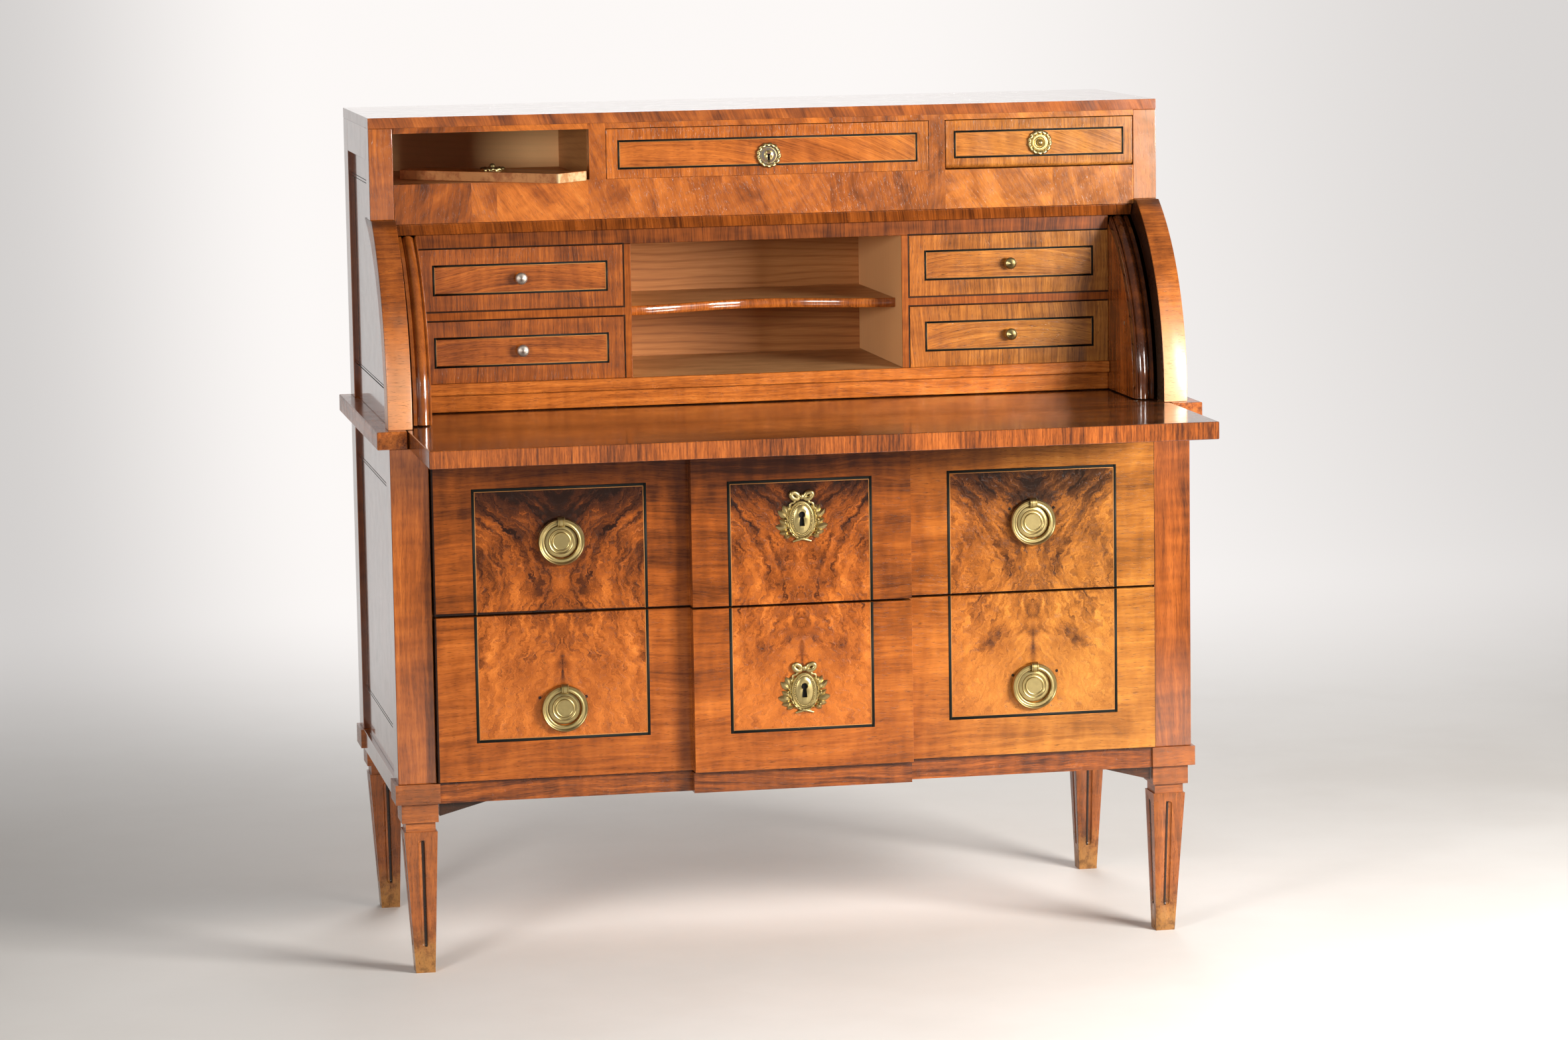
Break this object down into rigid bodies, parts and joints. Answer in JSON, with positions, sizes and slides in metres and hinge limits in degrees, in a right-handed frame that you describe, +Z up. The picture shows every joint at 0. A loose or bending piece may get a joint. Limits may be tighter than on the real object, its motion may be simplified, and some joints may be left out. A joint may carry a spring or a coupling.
{
  "type": "cylinder desk",
  "caption": "Free-standing cylinder desk with a turning shutter, a pull-out writing slide, a nest of small drawers, a frieze with flaps and large ring-handled drawers below.",
  "frame": {"origin": "on the floor, under the middle of the desk with its writing slide pulled out", "axes": "+X to the right of someone who faces the desk, -Y out of the front, +Z up"},
  "size_m": [1.185, 0.7723, 1.2],
  "materials": {
    "walnut": "polished walnut",
    "walnut_figured": "polished figured walnut veneer",
    "walnut_dark": "dark polished walnut",
    "spruce": "bare spruce",
    "brass": "old polished brass",
    "iron": "dark wrought iron"
  },
  "bodies": {
    "case": {"leg_front_left": "walnut", "leg_front_right": "walnut", "leg_rear_left": "walnut", "leg_rear_right": "walnut", "lower_side_left": "walnut", "lower_side_right": "walnut", "upper_side_left": "walnut", "upper_side_right": "walnut", "side_panels": "walnut", "back_boards": "spruce", "bottom_board": "spruce", "base_rail": "walnut", "side_base_rails": "walnut", "drawer_runners": "spruce", "middle_rail": "spruce", "slide_bed": "spruce", "desk_ledges": "walnut", "cylinder_arms": "walnut", "cylinder_guides": "walnut_dark", "nest_linings": "walnut_dark", "nest_case": "spruce", "nest_plinth": "walnut", "frieze_frame": "walnut_figured", "frieze_floor": "spruce", "frieze_dividers": "spruce", "top_board": "walnut", "pivot_pins": "iron", "shutter_stops": "spruce"},
    "shutter": {"shutter_shell": "walnut_figured", "shutter_rail": "walnut", "shutter_arms": "iron"},
    "slide": {"writing_slide": "walnut_figured"},
    "upper_drawer": {"upper_drawer_front": "walnut_figured", "upper_drawer_box": "spruce", "upper_drawer_fittings": "brass", "upper_lock_case": "iron"},
    "upper_ring_left": {"upper_ring_left": "brass"},
    "upper_ring_right": {"upper_ring_right": "brass"},
    "upper_lock_bolt": {"upper_lock_bolt": "iron"},
    "lower_drawer": {"lower_drawer_front": "walnut_figured", "lower_drawer_box": "spruce", "lower_drawer_fittings": "brass", "lower_lock_case": "iron"},
    "lower_ring_left": {"lower_ring_left": "brass"},
    "lower_ring_right": {"lower_ring_right": "brass"},
    "lower_lock_bolt": {"lower_lock_bolt": "iron"},
    "small_drawer_upper_left": {"small_drawer_upper_left": "walnut_figured", "small_drawer_upper_left_knob": "brass"},
    "small_drawer_lower_left": {"small_drawer_lower_left": "walnut_figured", "small_drawer_lower_left_knob": "brass"},
    "small_drawer_upper_right": {"small_drawer_upper_right": "walnut_figured", "small_drawer_upper_right_knob": "brass"},
    "small_drawer_lower_right": {"small_drawer_lower_right": "walnut_figured", "small_drawer_lower_right_knob": "brass"},
    "frieze_drawer": {"frieze_drawer": "walnut_figured", "frieze_drawer_lock": "brass"},
    "frieze_lock_bolt": {"frieze_lock_bolt": "iron"},
    "right_flap": {"right_flap": "walnut_figured", "right_flap_knob": "brass"},
    "loose_flap": {"loose_flap": "walnut_figured", "loose_flap_knob": "brass"}
  },
  "joints": [
    {"name": "shutter_turn", "type": "hinge", "parent": "case", "child": "shutter", "pos_m": [0, 0.19007, 0.787], "axis": [-1, 0, 0], "range_deg": [-62.5, 0]},
    {"name": "slide_pull", "type": "slide", "parent": "case", "child": "slide", "axis": [0, -1, 0], "range_m": [-0.242, 0]},
    {"name": "upper_drawer_pull", "type": "slide", "parent": "case", "child": "upper_drawer", "axis": [0, -1, 0], "range_m": [0, 0.35]},
    {"name": "upper_ring_left_lift", "type": "hinge", "parent": "upper_drawer", "child": "upper_ring_left", "pos_m": [-0.33925, -0.15193, 0.64], "axis": [-1, 0, 0], "range_deg": [0, 80]},
    {"name": "upper_ring_right_lift", "type": "hinge", "parent": "upper_drawer", "child": "upper_ring_right", "pos_m": [0.33925, -0.15193, 0.64], "axis": [-1, 0, 0], "range_deg": [0, 80]},
    {"name": "upper_lock_bolt_throw", "type": "slide", "parent": "upper_drawer", "child": "upper_lock_bolt", "axis": [0, 0, 1], "range_m": [0, 0.008]},
    {"name": "lower_drawer_pull", "type": "slide", "parent": "case", "child": "lower_drawer", "axis": [0, -1, 0], "range_m": [0, 0.35]},
    {"name": "lower_ring_left_lift", "type": "hinge", "parent": "lower_drawer", "child": "lower_ring_left", "pos_m": [-0.33925, -0.15193, 0.4035], "axis": [-1, 0, 0], "range_deg": [0, 80]},
    {"name": "lower_ring_right_lift", "type": "hinge", "parent": "lower_drawer", "child": "lower_ring_right", "pos_m": [0.33925, -0.15193, 0.4035], "axis": [-1, 0, 0], "range_deg": [0, 80]},
    {"name": "lower_lock_bolt_throw", "type": "slide", "parent": "lower_drawer", "child": "lower_lock_bolt", "axis": [0, 0, 1], "range_m": [0, 0.008]},
    {"name": "small_drawer_upper_left_pull", "type": "slide", "parent": "case", "child": "small_drawer_upper_left", "axis": [0, -1, 0], "range_m": [0, 0.16]},
    {"name": "small_drawer_lower_left_pull", "type": "slide", "parent": "case", "child": "small_drawer_lower_left", "axis": [0, -1, 0], "range_m": [0, 0.16]},
    {"name": "small_drawer_upper_right_pull", "type": "slide", "parent": "case", "child": "small_drawer_upper_right", "axis": [0, -1, 0], "range_m": [0, 0.16]},
    {"name": "small_drawer_lower_right_pull", "type": "slide", "parent": "case", "child": "small_drawer_lower_right", "axis": [0, -1, 0], "range_m": [0, 0.16]},
    {"name": "frieze_drawer_pull", "type": "slide", "parent": "case", "child": "frieze_drawer", "axis": [0, -1, 0], "range_m": [0, 0.2]},
    {"name": "frieze_lock_bolt_throw", "type": "slide", "parent": "frieze_drawer", "child": "frieze_lock_bolt", "axis": [0, 0, 1], "range_m": [0, 0.005]},
    {"name": "right_flap_drop", "type": "hinge", "parent": "case", "child": "right_flap", "pos_m": [0.40025, 0.04607, 1.113], "axis": [1, 0, 0], "range_deg": [0, 90]},
    {"name": "loose_flap_draw", "type": "slide", "parent": "case", "child": "loose_flap", "axis": [0, -1, 0], "range_m": [0, 0.2]}
  ]
}
